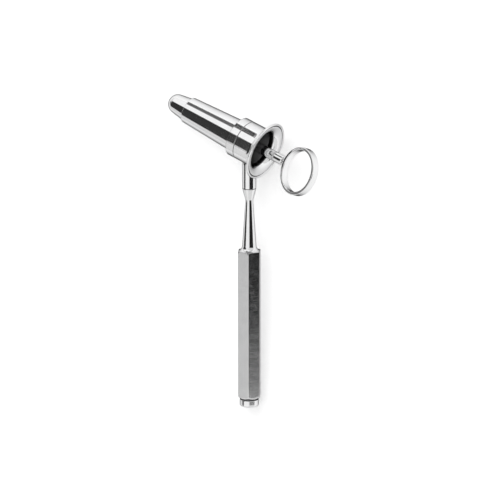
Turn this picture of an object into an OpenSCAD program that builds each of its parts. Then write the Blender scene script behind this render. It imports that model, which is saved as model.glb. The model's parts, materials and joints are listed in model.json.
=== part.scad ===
// Tubular anal speculum with its obturator, lying on its side as it comes to rest.
// The speculum is a tapered tube, brazed into a bell-mouthed head that carries a slim handle.
// The obturator is a round-nosed plug on a rod with a finger ring, and it draws out backwards.
// Each piece is drawn along the axis of the tube, with the mouth of the bell at zero,
// and the last steps lay the whole instrument on the table.

/* [Tube] */
// Distance from the mouth of the bell to the far end of the tube
tube_reach = 67; // [55:1:85]
// Outer diameter of the tube at its far end
tube_end_d = 18.6; // [17.4:0.1:20]
// Outer diameter of the tube where it enters the collar
tube_base_d = 22.6; // [21:0.1:24]
// Wall of the tube
tube_wall = 0.9; // [0.7:0.1:1.2]
// Length of tube that is brazed into the bell behind the collar
tube_seat = 4; // [3:0.5:6]

/* [Collar and bell] */
// Thickness of the collar around the tube
collar_wall = 2.7; // [1.6:0.1:5]
// Length of the collar
collar_len = 6.5; // [4:0.5:9]
// Length of the bell from its mouth to the seam with the collar
bell_len = 17.8; // [16.5:0.1:22]
// Wall of the bell's barrel around the throat
barrel_wall = 1.4; // [1.1:0.1:2]
// Width of the flange that spreads from the barrel out to the rim
rim_width = 6.5; // [6.1:0.1:10]
// Thickness of the rim
rim_t = 1.6; // [1.2:0.1:2]
// Radius of the hollow curve behind the rim
flare_r = 5; // [3.5:0.1:5.4]
// Depth of the trumpet curve from the rim down to the throat
trumpet_depth = 4.4; // [3:0.2:5]
// Length of the straight throat before it funnels down to the tube
throat_len = 2.6; // [1:0.2:4]
// Width of the bevels that leave a fine line at each seam
seam_bevel = 0.25; // [0.1:0.05:0.4]

/* [Socket of the handle] */
// Diameter of the socket and of the top of the handle
socket_d = 9.6; // [8.6:0.2:11]
// Distance from the tube's axis to the seam where the handle screws on
socket_reach = 32; // [27:0.5:40]
// Distance behind the mouth at which the handle's axis meets the tube's axis
handle_set = 14.6; // [13:0.1:16]
// Lean of the handle towards the finger ring
handle_lean = 18; // [10:1:24]
// Diameter of the screw that joins the handle to the socket
screw_d = 3.5; // [3:0.1:4]
// Length of the screw on each side of the seam
screw_reach = 4.6; // [3.5:0.1:5]

/* [Handle] */
// Length of the cone under the seam
neck_len = 8; // [6:0.5:10]
// Diameter at the waist of the handle
waist_d = 5.5; // [5:0.1:7]
// Length of the waist
waist_len = 1.5; // [1:0.1:3]
// Distance from the seam to the widest end of the stem
stem_len = 40.6; // [33:0.2:50]
// Diameter of the stem at its widest end
stem_d = 9.8; // [8:0.2:11.6]
// Length of the turned flare between the stem and the grip
flare_len = 3.6; // [2.6:0.2:5]
// Distance across the flats of the grip
grip_flats = 14.8; // [13.6:0.1:17]
// Length of the six-sided grip
grip_len = 105; // [94:1:130]
// Height of the bevel that rounds the corners at the lower end of the grip
grip_bevel = 1.6; // [1:0.1:2.4]
// Diameter of the hollow inside the grip
hollow_d = 10; // [7:0.5:11]
// Depth of that hollow
hollow_len = 90; // [20:1:94]

/* [Foot of the handle] */
// Diameter of the foot
foot_d = 13.2; // [12.4:0.2:14.4]
// Length of the foot
foot_len = 4.8; // [3.8:0.2:10]
// Radius of the foot's lower edge
foot_round = 1.3; // [0.6:0.1:2]
// Radius of the foot's upper edge
foot_top_round = 0.5; // [0.2:0.1:0.8]
// Diameter of the groove above the foot
groove_d = 11.2; // [10.4:0.2:11.8]
// Width of the groove above the foot
groove_w = 1.2; // [0.8:0.1:2]
// Length of the foot's spigot inside the grip
spigot_len = 9; // [5:0.5:15]

/* [Obturator] */
// How much narrower in radius the round tip is than the nose at the end of the tube
nose_taper = 1.4; // [0.4:0.1:2.6]
// Distance from the end of the tube to the centre of the round tip
tip_set = 9.7; // [8:0.1:14]
// Length of the plug inside the tube
plug_len = 20; // [12:1:28]
// Free space between the plug and the bore of the tube
plug_clearance = 0.12; // [0.08:0.01:0.2]
// Length of the cone at the back of the plug
plug_back = 3.5; // [2:0.1:5]
// Diameter of the rod
rod_d = 6.8; // [5.6:0.1:7.6]
// Distance from the mouth of the bell to the shoulder at the end of the rod
rod_out = 15; // [8:0.5:22]
// Radius of that shoulder
rod_round = 1; // [0.4:0.1:1]
// Width of the shoulder around the neck that carries the ring
rod_step = 1.3; // [1.1:0.1:1.6]
// Length of the neck up to the ring
rod_neck_len = 1.8; // [1.5:0.1:8]
// Length of the rod's pin in the plug
rod_pin_len = 7; // [4:0.5:9]

/* [Finger ring] */
// Outer diameter of the ring
ring_d = 33; // [28:0.5:38]
// Width of the band
ring_w = 5.4; // [4.8:0.1:7]
// Thickness of the band
ring_t = 2.1; // [1.6:0.1:2.6]
// Radius on the edges of the band
ring_round = 0.6; // [0.2:0.1:0.75]
// Lean of the ring out of line with the rod
ring_lean = 22; // [0:1:24]
// Turn of the ring about the rod, away from the handle
ring_turn = 14; // [-20:1:30]

/* [Hidden] */
$fn = 96;

// Steps in an eighth of a turn of a curved outline
arc_steps = 4;
// Extra length that takes a cut clear through a surface
cut_over = 2;
// Full angle of the drill point at the end of a blind hole
drill_angle = 118;
// Sides of the bar that the handle is turned from
grip_sides = 6;

tube_end_r = tube_end_d / 2;
tube_base_r = tube_base_d / 2;
tube_bore_r = tube_base_r - tube_wall;
barrel_r = tube_base_r + collar_wall;
rim_r = barrel_r + rim_width;
rim_edge = rim_t / 2;
throat_r = barrel_r - barrel_wall;
socket_r = socket_d / 2;
screw_r = screw_d / 2;
waist_r = waist_d / 2;
stem_r = stem_d / 2;
hollow_r = hollow_d / 2;
foot_r = foot_d / 2;
groove_r = groove_d / 2;
rod_r = rod_d / 2;
rod_neck_r = rod_r - rod_step;
ring_r = ring_d / 2;

// Places along the tube's axis
seam_z = -bell_len;
collar_z = seam_z - collar_len;
tube_top_z = seam_z + tube_seat;
tube_end_z = -tube_reach;
tip_z = tube_end_z - tip_set;
plug_top_z = tube_end_z + plug_len;
plug_back_z = plug_top_z + plug_back;
ring_seat_z = rod_out + rod_neck_len;

// Places along the handle's axis, from where it meets the tube's axis
waist_l = socket_reach + neck_len;
stem_l = socket_reach + stem_len;
grip_l = stem_l + flare_len;
grip_end_l = grip_l + grip_len;
foot_l = grip_end_l + groove_w;
foot_end_l = foot_l + foot_len;
grip_flat_r = grip_flats / 2;
grip_corner_r = grip_flat_r / cos(180 / grip_sides);
bevel_end_r = grip_corner_r - grip_bevel;

// Points along an arc or a quarter of an ellipse
function arc(centre, r_across, r_along, from, to) =
    let (steps = ceil(abs(to - from) / 45 * arc_steps))
    [for (i = [0:steps])
        let (a = from + (to - from) * i / steps)
        centre + [r_across * cos(a), r_along * sin(a)]];

// Outer radius of the tube's cone at a place along its axis
function tube_r(z) =
    tube_end_r + (tube_base_r - tube_end_r) * (z - tube_end_z) / (collar_z - tube_end_z);

// Radius of the plug, which keeps its clearance from the bore
function plug_r(z) = tube_r(z) - tube_wall - plug_clearance;

// Direction from the tip's centre to the point where the nose's cone touches the round tip
nose_base_r = plug_r(tube_end_z);
tip_r = nose_base_r - nose_taper;
nose_touch = atan2(tip_set, nose_base_r) - acos(tip_r / norm([nose_base_r, tip_set]));

// Table that the instrument lies on: it touches the rim, the lip at the tube's end
// and one corner of the grip. Its slope along the tube comes from the first two.
lip_r = tube_wall / 2;
rim_over_lip = (rim_r - rim_edge) - (tube_end_r - lip_r);
lip_to_rim = -rim_edge - (tube_end_z + lip_r);
table_pitch = acos((lip_r - rim_edge) / norm([rim_over_lip, lip_to_rim])) - atan2(lip_to_rim, rim_over_lip);
axis_height = (rim_r - rim_edge) * cos(table_pitch) + rim_edge + rim_edge * sin(table_pitch);

// Its slope across the tube comes from the lowest corner of the grip
handle_dir = [sin(handle_lean), -cos(handle_lean), 0];
handle_side = [cos(handle_lean), sin(handle_lean), 0];
handle_origin = [-handle_set, 0, 0];
corner_l = grip_end_l - grip_bevel;
grip_half_flat = grip_corner_r * sin(180 / grip_sides);
grip_touch = handle_origin + corner_l * handle_dir - grip_half_flat * handle_side - [0, 0, grip_flat_r];
touch_height = (axis_height + grip_touch.x * sin(table_pitch)) / cos(table_pitch);
table_roll = asin(touch_height / norm([grip_touch.y, grip_touch.z])) - atan2(-grip_touch.z, -grip_touch.y);

// Directions of the finished frame: up from the table, along the handle and across it
up = [sin(table_pitch), cos(table_pitch) * sin(table_roll), cos(table_pitch) * cos(table_roll)];
along_raw = -(handle_dir - (handle_dir * up) * up);
along = along_raw / norm(along_raw);
across = cross(along, up);

// Where the ring's centre lies and where its axis points
ring_out = [
    cos(ring_lean),
    sin(ring_lean) * sin(ring_turn),
    sin(ring_lean) * cos(ring_turn)
];
ring_axis = [
    -sin(ring_lean),
    cos(ring_lean) * sin(ring_turn),
    cos(ring_lean) * cos(ring_turn)
];
ring_centre = [ring_seat_z, 0, 0] + ring_r * ring_out;

// Farthest reach of a disc of a given radius and thickness along a direction
function disc_reach(centre, axis, r, t, dir) =
    centre * dir + r * sqrt(1 - pow(axis * dir, 2)) + t / 2 * abs(axis * dir);

foot_centre = handle_origin + (foot_end_l - foot_len / 2) * handle_dir;
nose_centre = [tip_z, 0, 0];
x_high = disc_reach(ring_centre, ring_axis, ring_r, ring_w, across);
x_low = nose_centre * across - tip_r;
y_high = nose_centre * along + tip_r;
y_low = -disc_reach(foot_centre, handle_dir, foot_r, foot_len, -along);
frame_shift = [-(x_high + x_low) / 2, -(y_high + y_low) / 2, axis_height];

// Lays the instrument on the table, with the middle of its footprint at the origin
module on_table() {
    multmatrix([
        [across.x, across.y, across.z, frame_shift.x],
        [along.x, along.y, along.z, frame_shift.y],
        [up.x, up.y, up.z, frame_shift.z],
        [0, 0, 0, 1]
    ])
        children();
}

// Turns an outline about the tube's axis
module turned(outline) {
    rotate([90, 0, 90])
        rotate_extrude()
            polygon(outline);
}

// Places a solid that is drawn upright along the handle's axis
module on_handle() {
    translate(handle_origin)
        rotate([90, 0, handle_lean])
            children();
}

// Places a solid that is drawn flat in the middle of the finger ring
module on_ring() {
    translate([ring_seat_z, 0, 0])
        rotate([-ring_turn, 0, 0])
            rotate([0, -ring_lean, 0])
                translate([ring_r, 0, 0])
                    children();
}

// Blind round hole with a drill point, from the origin upwards
module drilled(r, depth) {
    cylinder(r = r, h = depth);
    translate([0, 0, depth])
        cylinder(r1 = r, r2 = 0, h = r / tan(drill_angle / 2));
}

module tube() {
    lip = arc([tube_end_r - lip_r, tube_end_z + lip_r], lip_r, lip_r, 0, -180);
    color("silver")
        on_table()
            turned(concat(
                [
                    [tube_bore_r, tube_top_z],
                    [tube_base_r, tube_top_z],
                    [tube_base_r, collar_z]
                ],
                lip,
                [[tube_bore_r, collar_z]]
            ));
}

module front_ring() {
    color("lightgray")
        on_table()
            turned([
                [tube_base_r, collar_z],
                [barrel_r - seam_bevel, collar_z],
                [barrel_r, collar_z + seam_bevel],
                [barrel_r, seam_z - seam_bevel],
                [barrel_r - seam_bevel, seam_z],
                [tube_base_r, seam_z]
            ]);
}

// Hollow curve behind the rim, and the rim itself
function bell_flare() = concat(
    arc([barrel_r + flare_r, -rim_t - flare_r], flare_r, flare_r, 180, 90),
    arc([rim_r - rim_edge, -rim_edge], rim_edge, rim_edge, -90, 90)
);

module bell() {
    trumpet_w = rim_r - rim_edge * 2 - throat_r;
    trumpet = arc([throat_r + trumpet_w, -trumpet_depth], trumpet_w, trumpet_depth, 90, 180);
    color("silver")
        on_table()
            turned(concat(
                [
                    [tube_base_r, seam_z],
                    [barrel_r - seam_bevel, seam_z],
                    [barrel_r, seam_z + seam_bevel]
                ],
                bell_flare(),
                trumpet,
                [
                    [throat_r, -trumpet_depth - throat_len],
                    [tube_bore_r, tube_top_z],
                    [tube_base_r, tube_top_z]
                ]
            ));
}

// The socket's top is cut to sit on the outside of the bell
module handle_socket() {
    outline = [
        [0, 0],
        [socket_r, 0],
        [socket_r, socket_reach - seam_bevel],
        [socket_r - seam_bevel, socket_reach],
        [0, socket_reach]
    ];
    color("lightgray")
        on_table()
            difference() {
                on_handle()
                    difference() {
                        rotate_extrude()
                            polygon(outline);
                        translate([0, 0, socket_reach - screw_reach])
                            cylinder(r = screw_r, h = screw_reach + cut_over);
                    }
                turned(concat(
                    [
                        [0, collar_z],
                        [barrel_r, collar_z]
                    ],
                    bell_flare(),
                    [[0, 0]]
                ));
            }
}

module handle_screw() {
    color("darkgray")
        on_table()
            on_handle()
                translate([0, 0, socket_reach - screw_reach])
                    cylinder(r = screw_r, h = screw_reach * 2);
}

// Stem and grip are turned from one six-sided bar, which leaves arched cuts on its flats
module handle() {
    flare_w = grip_corner_r - stem_r;
    flare = arc([grip_corner_r, stem_l], flare_w, flare_len, 180, 90);
    outline = concat(
        [
            [0, socket_reach],
            [socket_r - seam_bevel, socket_reach],
            [socket_r, socket_reach + seam_bevel],
            [waist_r, waist_l],
            [waist_r, waist_l + waist_len]
        ],
        flare,
        [
            [grip_corner_r + cut_over, grip_l],
            [grip_corner_r + cut_over, corner_l],
            [grip_corner_r, corner_l],
            [bevel_end_r, grip_end_l],
            [0, grip_end_l]
        ]
    );
    color("gainsboro")
        on_table()
            on_handle()
                difference() {
                    intersection() {
                        rotate_extrude()
                            polygon(outline);
                        translate([0, 0, socket_reach])
                            cylinder(r = grip_corner_r, h = grip_end_l - socket_reach, $fn = grip_sides);
                    }
                    translate([0, 0, socket_reach - cut_over])
                        cylinder(r = screw_r, h = screw_reach + cut_over);
                    translate([0, 0, grip_end_l])
                        rotate([180, 0, 0])
                            drilled(hollow_r, hollow_len);
                }
}

module end_plug() {
    outline = concat(
        [
            [0, grip_end_l - spigot_len],
            [hollow_r, grip_end_l - spigot_len],
            [hollow_r, grip_end_l],
            [groove_r, grip_end_l],
            [groove_r, foot_l]
        ],
        arc([foot_r - foot_top_round, foot_l + foot_top_round], foot_top_round, foot_top_round, -90, 0),
        arc([foot_r - foot_round, foot_end_l - foot_round], foot_round, foot_round, 0, 90),
        [[0, foot_end_l]]
    );
    color("silver")
        on_table()
            on_handle()
                rotate_extrude()
                    polygon(outline);
}

module obturator_head() {
    nose = arc([0, tip_z], tip_r, tip_r, -90, nose_touch);
    color("white")
        on_table()
            turned(concat(
                nose,
                [
                    [nose_base_r, tube_end_z],
                    [plug_r(plug_top_z), plug_top_z],
                    [rod_r + rod_round, plug_back_z],
                    [rod_neck_r, plug_back_z],
                    [rod_neck_r, plug_back_z - rod_pin_len],
                    [0, plug_back_z - rod_pin_len]
                ]
            ));
}

// The neck is cut to sit on the outside of the ring
module obturator_rod() {
    outline = concat(
        [
            [0, plug_back_z - rod_pin_len],
            [rod_neck_r, plug_back_z - rod_pin_len],
            [rod_neck_r, plug_back_z],
            [rod_r, plug_back_z]
        ],
        arc([rod_r - rod_round, rod_out - rod_round], rod_round, rod_round, 0, 90),
        [
            [rod_neck_r, rod_out],
            [rod_neck_r, ring_seat_z + cut_over],
            [0, ring_seat_z + cut_over]
        ]
    );
    color("silver")
        on_table()
            difference() {
                turned(outline);
                on_ring()
                    cylinder(r = ring_r, h = ring_w * 2, center = true);
            }
}

module finger_ring() {
    half_w = ring_w / 2;
    outer_r = ring_r - ring_round;
    inner_r = ring_r - ring_t + ring_round;
    outline = concat(
        arc([outer_r, half_w - ring_round], ring_round, ring_round, 0, 90),
        arc([inner_r, half_w - ring_round], ring_round, ring_round, 90, 180),
        arc([inner_r, ring_round - half_w], ring_round, ring_round, 180, 270),
        arc([outer_r, ring_round - half_w], ring_round, ring_round, 270, 360)
    );
    color("gainsboro")
        on_table()
            on_ring()
                rotate_extrude()
                    polygon(outline);
}

tube();
front_ring();
bell();
handle_socket();
handle_screw();
handle();
end_plug();
obturator_head();
obturator_rod();
finger_ring();
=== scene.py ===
import json
import math

import bmesh
import bpy
from mathutils import Matrix, Vector


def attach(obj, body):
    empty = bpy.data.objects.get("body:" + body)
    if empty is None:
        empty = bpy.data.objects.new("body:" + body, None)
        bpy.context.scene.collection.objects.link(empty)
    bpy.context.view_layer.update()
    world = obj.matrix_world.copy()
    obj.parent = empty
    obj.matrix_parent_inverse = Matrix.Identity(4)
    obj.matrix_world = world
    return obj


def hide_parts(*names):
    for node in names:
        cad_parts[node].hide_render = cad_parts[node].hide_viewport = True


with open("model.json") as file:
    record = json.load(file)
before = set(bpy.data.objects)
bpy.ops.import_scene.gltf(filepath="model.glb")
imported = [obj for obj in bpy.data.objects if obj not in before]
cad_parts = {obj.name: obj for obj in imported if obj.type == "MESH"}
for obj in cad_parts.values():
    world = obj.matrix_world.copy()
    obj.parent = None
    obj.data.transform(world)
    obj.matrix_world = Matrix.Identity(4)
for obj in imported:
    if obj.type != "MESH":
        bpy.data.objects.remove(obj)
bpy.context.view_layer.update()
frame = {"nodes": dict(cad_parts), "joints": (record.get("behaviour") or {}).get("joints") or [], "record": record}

MM = 0.001

# Sizes of the instrument in millimetres, as in the construction
TUBE_REACH = 67.0
TUBE_END_R = 9.3
TUBE_BASE_R = 11.3
TUBE_WALL = 0.9
TUBE_SEAT = 4.0
BARREL_R = 14.0
COLLAR_LEN = 6.5
BELL_LEN = 17.8
RIM_R = 20.5
RIM_T = 1.6
FLARE_R = 5.0
THROAT_R = 12.6
TRUMPET_DEPTH = 4.4
THROAT_LEN = 2.6
SOCKET_R = 4.8
SOCKET_REACH = 32.0
HANDLE_SET = 14.6
NECK_LEN = 8.0
WAIST_R = 2.75
WAIST_LEN = 1.5
STEM_LEN = 40.6
STEM_R = 4.9
STEM_FLARE = 3.6
GRIP_FLAT_R = 7.4
GRIP_LEN = 105.0
GRIP_BEVEL = 1.6
FOOT_R = 6.6
FOOT_LEN = 4.8
FOOT_ROUND = 1.3
GROOVE_R = 5.6
GROOVE_W = 1.2
SPIGOT_R = 5.0
SPIGOT_LEN = 9.0
TIP_R = 6.88
TIP_SET = 9.7
PLUG_LEN = 20.0
PLUG_CLEARANCE = 0.12
PLUG_BACK = 3.5
ROD_R = 3.4
ROD_OUT = 15.0
ROD_ROUND = 1.0
ROD_NECK_R = 2.1
ROD_NECK_LEN = 1.8
RING_R = 16.5
RING_W = 5.4
RING_T = 2.1
RING_ROUND = 0.6
RING_LEAN = math.radians(22)
RING_TURN = math.radians(14)

# Places along the tube's axis, with the mouth of the bell at zero
SEAM_Z = -BELL_LEN
COLLAR_Z = SEAM_Z - COLLAR_LEN
TUBE_TOP_Z = SEAM_Z + TUBE_SEAT
TUBE_END_Z = -TUBE_REACH
TIP_Z = TUBE_END_Z - TIP_SET
PLUG_TOP_Z = TUBE_END_Z + PLUG_LEN
PLUG_BACK_Z = PLUG_TOP_Z + PLUG_BACK
RING_SEAT_Z = ROD_OUT + ROD_NECK_LEN

# Places along the handle's axis, from where it meets the tube's axis
WAIST_L = SOCKET_REACH + NECK_LEN
STEM_L = SOCKET_REACH + STEM_LEN
GRIP_L = STEM_L + STEM_FLARE
GRIP_END_L = GRIP_L + GRIP_LEN
FOOT_L = GRIP_END_L + GROOVE_W
FOOT_END_L = FOOT_L + FOOT_LEN

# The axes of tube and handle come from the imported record
foot_mount = frame["record"]["mounts"][0]
tube_axis = Vector(frame["joints"][0]["axis"]).normalized()
handle_axis = Vector(foot_mount["axis"]).normalized()
plane_axis = tube_axis.cross(-handle_axis).normalized()
away_axis = plane_axis.cross(tube_axis)
handle_side = plane_axis.cross(handle_axis)
handle_origin = Vector(foot_mount["pos_m"]) - handle_axis * FOOT_END_L * MM
mouth = handle_origin + tube_axis * HANDLE_SET * MM


def placement(origin, x_axis, y_axis, z_axis):
    """Matrix that takes millimetres along three axes to the row frame."""
    turn = Matrix((x_axis, y_axis, z_axis)).transposed().to_4x4()
    return Matrix.Translation(origin) @ turn @ Matrix.Scale(MM, 4)


ring_lean_dir = math.cos(RING_TURN) * plane_axis + math.sin(RING_TURN) * away_axis
ring_out = math.cos(RING_LEAN) * tube_axis + math.sin(RING_LEAN) * ring_lean_dir
ring_axis = -math.sin(RING_LEAN) * tube_axis + math.cos(RING_LEAN) * ring_lean_dir
ring_centre = mouth + (RING_SEAT_Z * tube_axis + RING_R * ring_out) * MM

ON_TUBE = placement(mouth, away_axis, plane_axis, tube_axis)
ON_HANDLE = placement(handle_origin, handle_side, plane_axis, handle_axis)
ON_RING = placement(ring_centre, ring_out, ring_axis.cross(ring_out), ring_axis)


# Outlines

def arc(centre, across, along, start, end, steps=12):
    """Points on an arc or part of an ellipse, with angles in degrees."""
    angles = [math.radians(start + (end - start) * i / steps) for i in range(steps + 1)]
    return [(centre[0] + across * math.cos(a), centre[1] + along * math.sin(a)) for a in angles]


def softened(points, radius, closed=True, steps=5):
    """An outline with each corner rounded, and a point close to each end of the rounding."""
    out = []
    count = len(points)
    for i, point in enumerate(points):
        here = Vector(point)
        if not closed and i in (0, count - 1):
            out.append(tuple(here))
            continue
        back = Vector(points[i - 1]) - here
        ahead = Vector(points[(i + 1) % count]) - here
        turn = math.pi - back.angle(ahead, math.pi)
        if turn < math.radians(14):
            out.append(tuple(here))
            continue
        reach = min(radius * math.tan(turn / 2), 0.45 * back.length, 0.45 * ahead.length)
        r = reach / math.tan(turn / 2)
        start = here + back.normalized() * reach
        end = here + ahead.normalized() * reach
        middle = here + (back.normalized() + ahead.normalized()).normalized() * r / math.cos(turn / 2)
        first, last = start - middle, end - middle
        sweep = first.angle_signed(last)
        out.append(tuple(start + back.normalized() * min(0.03, 0.04 * back.length)))
        for k in range(steps + 1):
            a = -sweep * k / steps
            c, s = math.cos(a), math.sin(a)
            out.append((middle.x + first.x * c - first.y * s, middle.y + first.x * s + first.y * c))
        out.append(tuple(end + ahead.normalized() * min(0.03, 0.04 * ahead.length)))
    return out


def dense(points, step, closed=True):
    """The same outline with no stretch longer than step."""
    out = []
    pairs = list(zip(points, points[1:] + points[:1])) if closed else list(zip(points, points[1:]))
    for a, b in pairs:
        parts = max(1, math.ceil(math.dist(a, b) / step))
        for k in range(parts):
            t = k / parts
            out.append((a[0] + (b[0] - a[0]) * t, a[1] + (b[1] - a[1]) * t))
    if not closed:
        out.append(points[-1])
    return out


# Meshes

def skin(name, rows, place, body, look, nodes=(), closed=False):
    """A smooth surface through rows of points, each row closed round its axis."""
    mesh = bpy.data.meshes.new(name)
    build = bmesh.new()
    rings = [[build.verts.new(place @ Vector(p)) for p in row] for row in rows]
    pairs = list(zip(rings, rings[1:]))
    if closed:
        pairs.append((rings[-1], rings[0]))
    for near, far in pairs:
        for i in range(len(near)):
            j = (i + 1) % len(near)
            build.faces.new((near[i], near[j], far[j], far[i]))
    bmesh.ops.remove_doubles(build, verts=build.verts, dist=0.002 * MM)
    bmesh.ops.recalc_face_normals(build, faces=build.faces)
    for face in build.faces:
        face.smooth = True
    build.to_mesh(mesh)
    build.free()
    piece = bpy.data.objects.new(name, mesh)
    bpy.context.scene.collection.objects.link(piece)
    piece.data.materials.append(look)
    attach(piece, body)
    if nodes:
        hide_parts(*nodes)
    return piece


def paint_shade_band(piece, place, spans, look):
    """Paints shade: gives the dark painted-shade material to the faces between two heights and two radii."""
    piece.data.materials.append(look)
    slot = len(piece.data.materials) - 1
    back = place.inverted()
    for face in piece.data.polygons:
        at = back @ face.center
        r = math.hypot(at.x, at.y)
        if any(low < at.z < high and inner < r < outer for low, high, inner, outer in spans):
            face.material_index = slot


def paint_shade_inside(piece, place, reach, low, high, look):
    """Paints shade: gives the dark painted-shade material to the faces nearer than reach to the axis, between two
    heights.
    """
    piece.data.materials.append(look)
    back = place.inverted()
    for face in piece.data.polygons:
        at = back @ face.center
        if math.hypot(at.x, at.y) < reach(at.z) and low < at.z < high:
            face.material_index = 1


def turned(name, outline, place, body, look, nodes=(), closed=True, columns=192, soft=0.12, step=1.2):
    """A piece turned on a lathe, from its outline of radius and height."""
    points = dense(softened(outline, soft, closed), step, closed)
    angles = [2 * math.pi * i / columns for i in range(columns)]
    rows = [[(r * math.cos(a), r * math.sin(a), z) for a in angles] for r, z in points]
    return skin(name, rows, place, body, look, nodes, closed)


# Materials

def node(tree, kind, **inputs):
    made = tree.nodes.new(kind)
    for key, value in inputs.items():
        made.inputs[key.replace("_", " ")].default_value = value
    return made


EDGE_TONE = 0.02


def metal(name, tone, roughness, marks_along, seed):
    """Polished plate: faint lathe marks along an axis, hairline scratches and cloudy patches."""
    mat = bpy.data.materials.new(name)
    mat.use_nodes = True
    tree = mat.node_tree
    link = tree.links.new
    shader = tree.nodes["Principled BSDF"]
    shader.inputs["Metallic"].default_value = 1.0
    shader.inputs["Specular Tint"].default_value = (EDGE_TONE, EDGE_TONE, EDGE_TONE, 1)
    place = tree.nodes.new("ShaderNodeTexCoord")

    cloud = node(tree, "ShaderNodeTexNoise", Scale=90.0 + seed, Detail=4.0, Roughness=0.6)
    link(place.outputs["Object"], cloud.inputs["Vector"])
    tint = tree.nodes.new("ShaderNodeValToRGB")
    tint.color_ramp.elements[0].position = 0.3
    tint.color_ramp.elements[1].position = 0.7
    tint.color_ramp.elements[0].color = (tone * 0.94, tone * 0.94, tone * 0.945, 1)
    tint.color_ramp.elements[1].color = (tone, tone, tone * 1.003, 1)
    link(cloud.outputs["Fac"], tint.inputs["Fac"])
    link(tint.outputs["Color"], shader.inputs["Base Color"])

    wipe = node(tree, "ShaderNodeTexNoise", Scale=260.0 + seed, Detail=6.0, Roughness=0.65)
    link(place.outputs["Object"], wipe.inputs["Vector"])
    rough = node(tree, "ShaderNodeMapRange")
    rough.inputs["From Min"].default_value = 0.35
    rough.inputs["From Max"].default_value = 0.7
    rough.inputs["To Min"].default_value = roughness
    rough.inputs["To Max"].default_value = roughness + 0.05
    link(wipe.outputs["Fac"], rough.inputs["Value"])
    link(rough.outputs["Result"], shader.inputs["Roughness"])

    along = node(tree, "ShaderNodeVectorMath")
    along.operation = "DOT_PRODUCT"
    along.inputs[1].default_value = marks_along
    link(place.outputs["Object"], along.inputs[0])
    lathe = node(tree, "ShaderNodeTexNoise", Scale=9000.0, Detail=2.0, Roughness=0.5)
    lathe.noise_dimensions = "1D"
    link(along.outputs["Value"], lathe.inputs["W"])
    hairs = node(tree, "ShaderNodeTexNoise", Scale=1800.0, Detail=3.0, Roughness=0.7)
    stretch = tree.nodes.new("ShaderNodeMapping")
    stretch.inputs["Scale"].default_value = (1.0, 0.08, 1.0)
    link(place.outputs["Object"], stretch.inputs["Vector"])
    link(stretch.outputs["Vector"], hairs.inputs["Vector"])
    mix = tree.nodes.new("ShaderNodeMath")
    mix.operation = "ADD"
    link(lathe.outputs["Fac"], mix.inputs[0])
    link(hairs.outputs["Fac"], mix.inputs[1])
    bump = node(tree, "ShaderNodeBump", Strength=0.03, Distance=0.0001)
    link(mix.outputs["Value"], bump.inputs["Height"])
    link(bump.outputs["Normal"], shader.inputs["Normal"])
    return mat


bright = metal("bright_plate", 0.8, 0.07, tube_axis, 0.0)
grip_plate = metal("handle_plate", 0.78, 0.06, handle_axis, 7.0)
plug_plate = metal("obturator_plate", 0.8, 0.06, tube_axis, 13.0)
ring_plate = metal("ring_plate", 0.8, 0.07, ring_axis, 19.0)
# Dark metal that paints shade into the bores, grooves, seams and edges
painted_shade_metal = metal("painted_shade_dark_metal", 0.13, 0.3, tube_axis, 29.0)


# Pieces of the speculum

def tube_r(z):
    return TUBE_END_R + (TUBE_BASE_R - TUBE_END_R) * (z - TUBE_END_Z) / (COLLAR_Z - TUBE_END_Z)


def make_tube():
    lip = TUBE_WALL / 2
    bore = TUBE_BASE_R - TUBE_WALL
    outline = [(bore, TUBE_TOP_Z), (TUBE_BASE_R, TUBE_TOP_Z), (TUBE_BASE_R, COLLAR_Z)]
    outline += arc((TUBE_END_R - lip, TUBE_END_Z + lip), lip, lip, 0, -180, 16)
    outline += [(bore, COLLAR_Z)]
    shell = turned("tube_shell", outline, ON_TUBE, "speculum", bright, ["tube"], soft=0.05)
    # Painted shade: the bore inside the tube and the inner edge of its lip get the dark material
    paint_shade_inside(shell, ON_TUBE, lambda z: min(tube_r(z), TUBE_BASE_R) - lip, TUBE_END_Z + 2 * lip, 0, painted_shade_metal)
    paint_shade_band(shell, ON_TUBE, ((TUBE_END_Z - 1, TUBE_END_Z + 2 * lip, 0, TUBE_END_R - lip * 0.9),), painted_shade_metal)


def make_front_ring():
    bevel = 0.3
    outline = [
        (TUBE_BASE_R, COLLAR_Z), (BARREL_R, COLLAR_Z),
        (BARREL_R, SEAM_Z - bevel), (BARREL_R - bevel, SEAM_Z), (TUBE_BASE_R, SEAM_Z),
    ]
    shell = turned("collar_shell", outline, ON_TUBE, "speculum", bright, ["front_ring"], soft=0.18)
    # Painted shade: thin dark bands at the rear edge of the collar and at its front seam
    rear = (COLLAR_Z - 0.01, COLLAR_Z + 0.4, BARREL_R - 0.4, BARREL_R + 1)
    front = (SEAM_Z - 0.25, SEAM_Z + 1, BARREL_R - 1, BARREL_R + 1)
    paint_shade_band(shell, ON_TUBE, (rear, front), painted_shade_metal)


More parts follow.
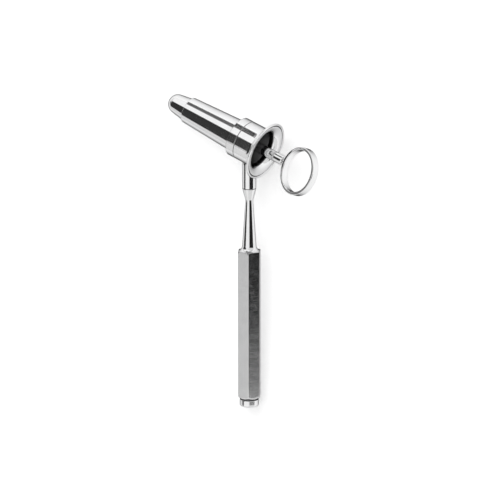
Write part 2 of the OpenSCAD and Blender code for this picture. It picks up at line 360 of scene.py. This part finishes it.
def make_bell():
    bevel = 0.3
    edge = RIM_T / 2
    bead_in = RIM_R - 2 * edge - 0.4
    bead_drop = 0.4
    groove_out = RIM_R - 2 * edge
    trumpet_w = bead_in - THROAT_R
    outline = [(TUBE_BASE_R, SEAM_Z), (BARREL_R - bevel, SEAM_Z), (BARREL_R, SEAM_Z + bevel)]
    outline += arc((BARREL_R + FLARE_R, -RIM_T - FLARE_R), FLARE_R, FLARE_R, 180, 90, 20)
    outline += arc((RIM_R - edge, -edge), edge, edge, -90, 178, 20)
    outline += [(groove_out - 0.05, -1.0), (bead_in + 0.05, -1.0)]
    outline += arc((bead_in, -TRUMPET_DEPTH), trumpet_w, TRUMPET_DEPTH - bead_drop, 90, 180, 30)
    outline += [
        (THROAT_R, -TRUMPET_DEPTH - THROAT_LEN), (TUBE_BASE_R - TUBE_WALL, TUBE_TOP_Z),
        (TUBE_BASE_R, TUBE_TOP_Z),
    ]
    shell = turned("bell_shell", outline, ON_TUBE, "speculum", bright, ["bell"], columns=256, soft=0.1)
    # Painted shade: the throat deep inside the bell and the groove inside the rim are dark
    paint_shade_inside(shell, ON_TUBE, lambda z: THROAT_R + 0.1, SEAM_Z, -TRUMPET_DEPTH - THROAT_LEN, painted_shade_metal)
    paint_shade_band(shell, ON_TUBE, ((-1, -0.42, bead_in - 0.02, groove_out + 0.05),), painted_shade_metal)


def socket_top(x, y, radius):
    """Place along the handle where a line beside its axis meets the barrel."""
    lean = math.asin(tube_axis.dot(handle_axis))
    return (x * math.sin(lean) + math.sqrt(radius ** 2 - y ** 2)) / math.cos(lean)


def make_socket():
    columns = 192
    bevel = 0.3
    inside_wall = 13.4
    angles = [2 * math.pi * i / columns for i in range(columns)]
    rim = [(SOCKET_R * math.cos(a), SOCKET_R * math.sin(a)) for a in angles]
    top = [(x, y, socket_top(x, y, inside_wall)) for x, y in rim]
    profile = [(0, SOCKET_REACH), (SOCKET_R - bevel, SOCKET_REACH), (SOCKET_R, SOCKET_REACH - bevel)]
    low = dense(softened(profile + [(SOCKET_R, 22.0)], 0.12, False), 0.8, False)
    rows = [[(r * math.cos(a), r * math.sin(a), l) for a in angles] for r, l in low]
    for t in (0.25, 0.5, 0.75, 1.0):
        rows.append([(x, y, 22.0 + (l - 22.0) * t) for x, y, l in top])
    rows.append([(0, 0, sum(p[2] for p in top) / columns)] * columns)
    shell = skin("socket_shell", rows, ON_HANDLE, "speculum", grip_plate, ["handle_socket"])
    # Painted shade: a thin dark line where the socket meets the handle's stem
    seam = (SOCKET_REACH - 0.25, SOCKET_REACH + 0.1, SOCKET_R - 1, SOCKET_R + 1)
    paint_shade_band(shell, ON_HANDLE, (seam,), painted_shade_metal)


def make_handle():
    """Stem and grip: the smaller of a turned radius and a six-sided one at each place."""
    corner_round = 0.35
    flat_steps, corner_steps = 34, 8
    corner_r = GRIP_FLAT_R / math.cos(math.pi / 6)
    inner_flat = GRIP_FLAT_R - corner_round
    rim = []
    for side in range(6):
        middle = side * math.pi / 3
        centre = Vector((math.cos(middle), math.sin(middle))) * inner_flat / math.cos(math.pi / 6)
        for k in range(corner_steps + 1):
            a = middle + math.radians(-30 + 60 * k / corner_steps)
            rim.append(centre + Vector((math.cos(a), math.sin(a))) * corner_round)
        after = middle + math.pi / 3
        nxt = Vector((math.cos(after), math.sin(after))) * inner_flat / math.cos(math.pi / 6)
        a = middle + math.radians(30)
        first = rim[-1]
        last = nxt + Vector((math.cos(a), math.sin(a))) * corner_round
        rim += [first.lerp(last, k / flat_steps) for k in range(1, flat_steps)]
    angles = [math.atan2(p.y, p.x) for p in rim]
    reach = [p.length for p in rim]
    bevel = 0.3
    profile = [
        (0, SOCKET_REACH), (SOCKET_R - bevel, SOCKET_REACH), (SOCKET_R, SOCKET_REACH + bevel),
        (WAIST_R, WAIST_L), (WAIST_R, WAIST_L + WAIST_LEN),
    ]
    profile += arc((corner_r, STEM_L), corner_r - STEM_R, STEM_FLARE, 180, 90, 60)
    corner_l = GRIP_END_L - GRIP_BEVEL
    head = dense(softened(profile, 0.3, False), 1.0, False)
    body = [(corner_r + 0.6, GRIP_L + 0.1), (corner_r + 1, GRIP_L + 1.5)]
    body += [(corner_r + 1, GRIP_L + 1.5 + 1.6 * k) for k in range(1, 60)]
    body += [(corner_r + 1, corner_l - 1.0)]
    bevel_rows = 50
    tail = []
    for k in range(bevel_rows + 1):
        t = k / bevel_rows
        tail.append((corner_r + 0.3 - (GRIP_BEVEL + 0.3) * t, corner_l - 0.3 + (GRIP_BEVEL + 0.3) * t))
    tail = [p for p in tail if p[1] <= GRIP_END_L] + [(GROOVE_R - 0.2, GRIP_END_L), (0, GRIP_END_L)]
    blend = 0.12
    rows = []
    for r, l in head + [p for p in body if p[1] < corner_l - 0.35] + tail:
        row = []
        for a, limit in zip(angles, reach):
            gap = r - limit
            small = (r + limit - math.sqrt(gap * gap + blend * blend)) / 2 if l > STEM_L else r
            small = min(small, limit)
            row.append((max(small, 0) * math.cos(a), max(small, 0) * math.sin(a), l))
        rows.append(row)
    shell = skin("handle_shell", rows, ON_HANDLE, "speculum", grip_plate, ["handle"])
    # Painted shade: a thin dark line where the stem meets the socket
    seam = (SOCKET_REACH - 0.1, SOCKET_REACH + 0.25, SOCKET_R - 1, SOCKET_R + 1)
    paint_shade_band(shell, ON_HANDLE, (seam,), painted_shade_metal)


def make_foot():
    outline = [
        (0, GRIP_END_L - SPIGOT_LEN), (SPIGOT_R, GRIP_END_L - SPIGOT_LEN), (SPIGOT_R, GRIP_END_L),
        (GROOVE_R, GRIP_END_L), (GROOVE_R, FOOT_L), (FOOT_R, FOOT_L),
    ]
    outline += arc((FOOT_R - FOOT_ROUND, FOOT_END_L - FOOT_ROUND), FOOT_ROUND, FOOT_ROUND, 0, 90, 12)
    outline += [(0, FOOT_END_L)]
    shell = turned("foot_shell", outline, ON_HANDLE, "speculum", grip_plate, ["end_plug"], closed=False, soft=0.4)
    # Painted shade: the groove between the grip and the foot is dark
    paint_shade_band(shell, ON_HANDLE, ((GRIP_END_L - 1, FOOT_L + 0.05, 0, FOOT_R - 0.3),), painted_shade_metal)


# Pieces of the obturator

def plug_r(z):
    return tube_r(z) - TUBE_WALL - PLUG_CLEARANCE


def make_head():
    base = plug_r(TUBE_END_Z)
    touch = math.degrees(math.atan2(TIP_SET, base) - math.acos(TIP_R / math.hypot(base, TIP_SET)))
    outline = arc((0, TIP_Z), TIP_R, TIP_R, -90, touch, 40)
    outline += [
        (base, TUBE_END_Z), (plug_r(PLUG_TOP_Z), PLUG_TOP_Z),
        (ROD_R + ROD_ROUND, PLUG_BACK_Z), (0, PLUG_BACK_Z),
    ]
    turned("nose_shell", outline, ON_TUBE, "obturator", plug_plate, ["obturator_head"], closed=False, soft=0.4)


def make_rod():
    outline = [(0, PLUG_BACK_Z - 1), (ROD_R, PLUG_BACK_Z - 1)]
    outline += arc((ROD_R - ROD_ROUND, ROD_OUT - ROD_ROUND), ROD_ROUND, ROD_ROUND, 0, 90, 12)
    outline[-1] = (ROD_NECK_R, ROD_OUT)
    outline += [(ROD_NECK_R, RING_SEAT_Z + 0.6), (0, RING_SEAT_Z + 0.6)]
    turned("rod_shell", outline, ON_TUBE, "obturator", plug_plate, ["obturator_rod"], closed=False, columns=96)


def make_ring():
    half = RING_W / 2
    outline = [
        (RING_R - RING_T, -half), (RING_R, -half), (RING_R, half), (RING_R - RING_T, half),
    ]
    turned("ring_shell", outline, ON_RING, "obturator", ring_plate, ["finger_ring"], columns=320, soft=RING_ROUND)


make_tube()
make_front_ring()
make_bell()
make_socket()
make_handle()
make_foot()
make_head()
make_rod()
make_ring()
screw = frame["nodes"]["handle_screw"]
screw.data.materials.clear()
screw.data.materials.append(grip_plate)


# Camera: the directions of the tube and the handle in the picture set its angle

PICTURE_PX = 500
MM_A_PIXEL = 0.68
MOUTH_AT = (266.2, 151.6)
TUBE_SLOPE = math.radians(28.9)
TUBE_FORWARD = 0.435
LENS = 300.0
SENSOR = 36.0


def picture_axes():
    """Right, up and back of the camera in the row frame. The handle is upright in the picture."""
    flat = math.sqrt(1 - TUBE_FORWARD ** 2)
    tube_img = Vector((flat * math.cos(TUBE_SLOPE), -flat * math.sin(TUBE_SLOPE), TUBE_FORWARD))
    lean = tube_axis.dot(handle_axis)
    down = flat * math.sin(TUBE_SLOPE)
    dip = math.acos(lean / math.hypot(down, TUBE_FORWARD)) - math.atan2(TUBE_FORWARD, down)
    handle_img = Vector((0, -math.cos(dip), -math.sin(dip)))
    plane_img = tube_img.cross(-handle_img).normalized()
    away_img = plane_img.cross(tube_img)
    axes = []
    for i in range(3):
        axes.append((tube_img[i] * tube_axis + away_img[i] * away_axis + plane_img[i] * plane_axis).normalized())
    return axes


def make_camera():
    right, up, back = picture_axes()
    shift_x = (MOUTH_AT[0] - PICTURE_PX / 2) * MM_A_PIXEL * MM
    shift_y = (PICTURE_PX / 2 - MOUTH_AT[1]) * MM_A_PIXEL * MM
    target = mouth - right * shift_x - up * shift_y
    distance = PICTURE_PX * MM_A_PIXEL * MM * LENS / SENSOR
    data = bpy.data.cameras.new("camera")
    data.lens = LENS
    data.sensor_width = SENSOR
    data.clip_end = 50.0
    cam = bpy.data.objects.new("camera", data)
    bpy.context.scene.collection.objects.link(cam)
    turn = Matrix((right, up, back)).transposed().to_4x4()
    cam.matrix_world = Matrix.Translation(target + back * distance) @ turn
    bpy.context.scene.camera = cam


# Floor, light and surroundings

def picture_dir(x, y, z):
    """A direction given as right, up and towards the viewer in the picture."""
    right, up, back = picture_axes()
    return (x * right + y * up + z * back).normalized()


VIEWER = picture_axes()[2]

# Bright parts of the surroundings: direction, cosine at the edge, cosine where full, extra light
BRIGHT_AREAS = [
    (picture_dir(-0.44, 0.73, 0.53), 0.80, 0.92, 0.3),
    (picture_dir(-0.63, -0.36, 0.69), 0.75, 0.90, 0.25),
]
SURROUND = 0.86

# Dark parts of the surroundings, as a turned piece on each axis shows them: the turns from the
# line that faces the viewer, the cosines of the angle to the axis, softness of both and tone
DARK_AREAS = [
    (tube_axis, (-37, 0), (-0.86, -0.47), 1.0, 0.01, 0.04),
    (tube_axis, (-26.5, 0), (-0.48, -0.34), 1.0, 0.01, 0.04),
    (tube_axis, (-31, -25.5), (-0.48, -0.38), 1.0, 0.01, 0.62),
    (tube_axis, (16, 35), (-0.60, -0.478), 3.5, 0.01, 0.12),
    (tube_axis, (17, 38), (-0.475, -0.36), 1.5, 0.01, 0.03),
    (handle_axis, (1, 56), (0.0, 0.312), 1.0, 0.03, 0.02),
]

# The grey part that the side face of the finger ring shows, as angles in radians
RING_GREY_FULL = 0.12
RING_GREY_EDGE = 0.25
RING_GREY_TONE = 0.25


def dot_with(tree, source, direction):
    dot = tree.nodes.new("ShaderNodeVectorMath")
    dot.operation = "DOT_PRODUCT"
    dot.inputs[1].default_value = direction
    tree.links.new(source, dot.inputs[0])
    return dot.outputs["Value"]


def joined(tree, operation, first, second):
    made = tree.nodes.new("ShaderNodeMath")
    made.operation = operation
    tree.links.new(first, made.inputs[0])
    tree.links.new(second, made.inputs[1])
    return made.outputs["Value"]


def ramp(tree, source, start, end, low=0.0, high=1.0):
    made = tree.nodes.new("ShaderNodeMapRange")
    made.interpolation_type = "SMOOTHSTEP"
    made.inputs["From Min"].default_value = start
    made.inputs["From Max"].default_value = end
    made.inputs["To Min"].default_value = low
    made.inputs["To Max"].default_value = high
    tree.links.new(source, made.inputs["Value"])
    return made.outputs["Result"]


def dark_share(tree, source, axis, turns, slants, soft_turn, soft_slant):
    """How far a direction lies inside a dark part of the surroundings."""
    facing = (VIEWER - axis * VIEWER.dot(axis)).normalized()
    slant = dot_with(tree, source, axis)
    ahead = dot_with(tree, source, facing)
    aside = dot_with(tree, source, facing.cross(axis))
    turn = joined(tree, "ARCTAN2", aside, ahead)
    start, end = [2 * math.radians(t) for t in turns]
    soft = 2 * math.radians(soft_turn)
    share = ramp(tree, turn, start, start + soft)
    for source, low, high in ((turn, end, end - soft), (slant, slants[0], slants[0] + soft_slant),
                              (slant, slants[1], slants[1] - soft_slant)):
        share = joined(tree, "MULTIPLY", share, ramp(tree, source, low, high))
    return share


def surround_level(tree, source):
    """Brightness of the surroundings that metal shows, by direction."""
    level = None
    for direction, edge, full, extra in BRIGHT_AREAS:
        part = SURROUND / len(BRIGHT_AREAS)
        lit = ramp(tree, dot_with(tree, source, direction), edge, full, part, part + extra)
        level = joined(tree, "ADD", level, lit) if level else lit
    for axis, turns, slants, soft_turn, soft_slant, tone in DARK_AREAS:
        share = dark_share(tree, source, axis, turns, slants, soft_turn, soft_slant)
        level = joined(tree, "MULTIPLY", level, ramp(tree, share, 0.0, 1.0, 1.0, tone))
    beyond_ring = 2 * ring_axis.dot(VIEWER) * ring_axis - VIEWER
    near = dot_with(tree, source, beyond_ring)
    grey = ramp(tree, near, math.cos(RING_GREY_FULL), math.cos(RING_GREY_EDGE), RING_GREY_TONE, 1.0)
    return joined(tree, "MULTIPLY", level, grey)


def plain_background(tree, strength):
    made = tree.nodes.new("ShaderNodeBackground")
    made.inputs["Color"].default_value = (1, 1, 1, 1)
    made.inputs["Strength"].default_value = strength
    return made


def make_world():
    world = bpy.data.worlds.new("studio")
    world.use_nodes = True
    bpy.context.scene.world = world
    tree = world.node_tree
    link = tree.links.new
    tree.nodes.clear()
    coord = tree.nodes.new("ShaderNodeTexCoord")
    seen = plain_background(tree, 1.0)
    link(surround_level(tree, coord.outputs["Generated"]), seen.inputs["Color"])
    ambient = plain_background(tree, 0.75)
    white = plain_background(tree, 1.0)
    path = tree.nodes.new("ShaderNodeLightPath")
    first = tree.nodes.new("ShaderNodeMixShader")
    link(path.outputs["Is Glossy Ray"], first.inputs["Fac"])
    link(ambient.outputs["Background"], first.inputs[1])
    link(seen.outputs["Background"], first.inputs[2])
    second = tree.nodes.new("ShaderNodeMixShader")
    link(path.outputs["Is Camera Ray"], second.inputs["Fac"])
    link(first.outputs["Shader"], second.inputs[1])
    link(white.outputs["Background"], second.inputs[2])
    out = tree.nodes.new("ShaderNodeOutputWorld")
    link(second.outputs["Shader"], out.inputs["Surface"])


def make_floor():
    size = 6.0
    mesh = bpy.data.meshes.new("floor")
    corners = [(-size, -size, 0), (size, -size, 0), (size, size, 0), (-size, size, 0)]
    mesh.from_pydata(corners, [], [(0, 1, 2, 3)])
    floor = bpy.data.objects.new("floor", mesh)
    bpy.context.scene.collection.objects.link(floor)
    mat = bpy.data.materials.new("pale_floor")
    mat.use_nodes = True
    shader = mat.node_tree.nodes["Principled BSDF"]
    shader.inputs["Base Color"].default_value = (0.93, 0.93, 0.93, 1)
    shader.inputs["Roughness"].default_value = 0.9
    shader.inputs["Specular IOR Level"].default_value = 0.0
    shader.inputs["Emission Color"].default_value = (1, 1, 1, 1)
    shader.inputs["Emission Strength"].default_value = 0.27
    floor.data.materials.append(mat)


def make_key_light():
    data = bpy.data.lights.new("soft_box", "AREA")
    data.shape = "DISK"
    data.size = 1.6
    data.energy = 10.0
    light = bpy.data.objects.new("soft_box", data)
    bpy.context.scene.collection.objects.link(light)
    light.visible_glossy = False
    toward = picture_dir(-0.35, 0.55, 0.75)
    light.location = mouth + toward * 1.6
    light.rotation_mode = "QUATERNION"
    light.rotation_quaternion = toward.to_track_quat("Z", "Y")


make_camera()
make_world()
make_floor()
make_key_light()
scene = bpy.context.scene
scene.view_settings.view_transform = "Standard"
